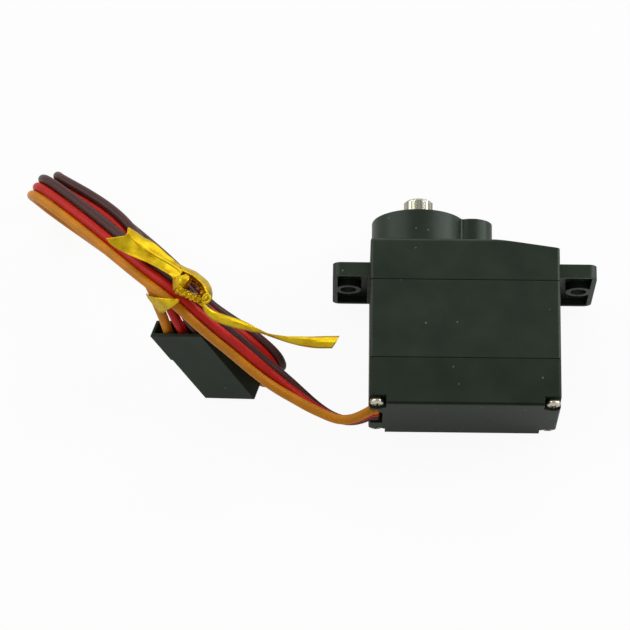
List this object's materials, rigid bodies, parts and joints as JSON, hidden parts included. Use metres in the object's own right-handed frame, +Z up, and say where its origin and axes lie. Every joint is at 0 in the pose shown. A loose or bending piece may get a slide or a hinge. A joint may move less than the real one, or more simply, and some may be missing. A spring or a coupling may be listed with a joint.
{
  "type": "servo motor",
  "caption": "Micro servo motor with metal gears, a splined output shaft, two mounting ears and a tied three-wire lead with a plug.",
  "frame": {"origin": "centre of the servo's own box, without the lead, on the plane of the back face that it lies on", "axes": "+X ear to ear, towards the motor end; +Y along the output shaft, out of the spline; +Z up, out of the front face"},
  "size_m": [0.0708, 0.0337, 0.0218],
  "materials": {
    "case_plastic": "fine matt moulded, black-green",
    "screw_steel": "nickel plated",
    "gear_steel": "hobbed, bright",
    "gear_brass": "hobbed",
    "bronze": "sintered bronze",
    "pin_steel": "ground",
    "can_steel": "drawn, nickel plated",
    "magnet": "sintered ferrite",
    "cap_plastic": "natural nylon",
    "core_steel": "stacked laminations",
    "winding": "enamelled copper wire",
    "contact_metal": "plated contact strip",
    "tin": "tinned",
    "pot_plastic": "moulded",
    "pot_carbon": "printed carbon",
    "board": "glass-fibre laminate with solder mask",
    "chip": "moulded epoxy",
    "ceramic": "fired ceramic",
    "wire_insulation": "soft PVC",
    "tie_foil": "metallised film on a wire"
  },
  "bodies": {
    "housing": {"top_case": "case_plastic", "middle_case": "case_plastic", "bottom_cover": "case_plastic", "case_screws": "screw_steel", "output_bush": "bronze", "idler_pin": "pin_steel", "motor_can": "can_steel", "motor_bush": "bronze", "motor_magnets": "magnet", "motor_end_cap": "cap_plastic", "motor_brushes": "contact_metal", "motor_tabs": "tin", "pot_case": "pot_plastic", "pot_track": "pot_carbon", "pot_pins": "tin", "circuit_board": "board", "control_chip": "chip", "bridge_chip": "chip", "board_capacitors": "ceramic", "inner_leads": "wire_insulation", "lead_ribbon": "wire_insulation", "lead_hank": "wire_insulation", "twist_tie": "tie_foil", "plug_housing": "case_plastic", "plug_contacts": "contact_metal"},
    "output": {"output_gear": "gear_steel", "pot_wiper": "cap_plastic"},
    "third_gear": {"gear_third": "gear_steel"},
    "second_gear": {"gear_second": "gear_brass"},
    "first_gear": {"gear_first": "gear_brass"},
    "rotor": {"motor_pinion": "gear_brass", "motor_shaft": "pin_steel", "armature_core": "core_steel", "armature_windings": "winding", "commutator": "winding"}
  },
  "joints": [
    {"name": "output_turn", "type": "hinge", "parent": "housing", "child": "output", "pos_m": [-0.0056, 0, 0.0062], "axis": [0, 1, 0], "range_deg": [-90, 90]},
    {"name": "third_turn", "type": "hinge", "parent": "housing", "child": "third_gear", "pos_m": [0.001, 0, 0.0062], "axis": [0, 1, 0], "range_deg": [-245, 245]},
    {"name": "second_turn", "type": "hinge", "parent": "housing", "child": "second_gear", "pos_m": [-0.0056, 0, 0.0062], "axis": [0, 1, 0], "range_deg": [-645, 645]},
    {"name": "first_turn", "type": "hinge", "parent": "housing", "child": "first_gear", "pos_m": [0.001, 0, 0.0062], "axis": [0, 1, 0], "range_deg": [-1560, 1560]},
    {"name": "rotor_turn", "type": "hinge", "parent": "housing", "child": "rotor", "pos_m": [0.00625, 0, 0.0062], "axis": [0, 1, 0], "range_deg": [-6620, 6620]}
  ],
  "couplings": [
    {"joint": "third_turn", "follows": "output_turn", "ratio": -2.6667},
    {"joint": "second_turn", "follows": "output_turn", "ratio": 7.1111},
    {"joint": "first_turn", "follows": "output_turn", "ratio": -17.27},
    {"joint": "rotor_turn", "follows": "output_turn", "ratio": 73.397}
  ]
}
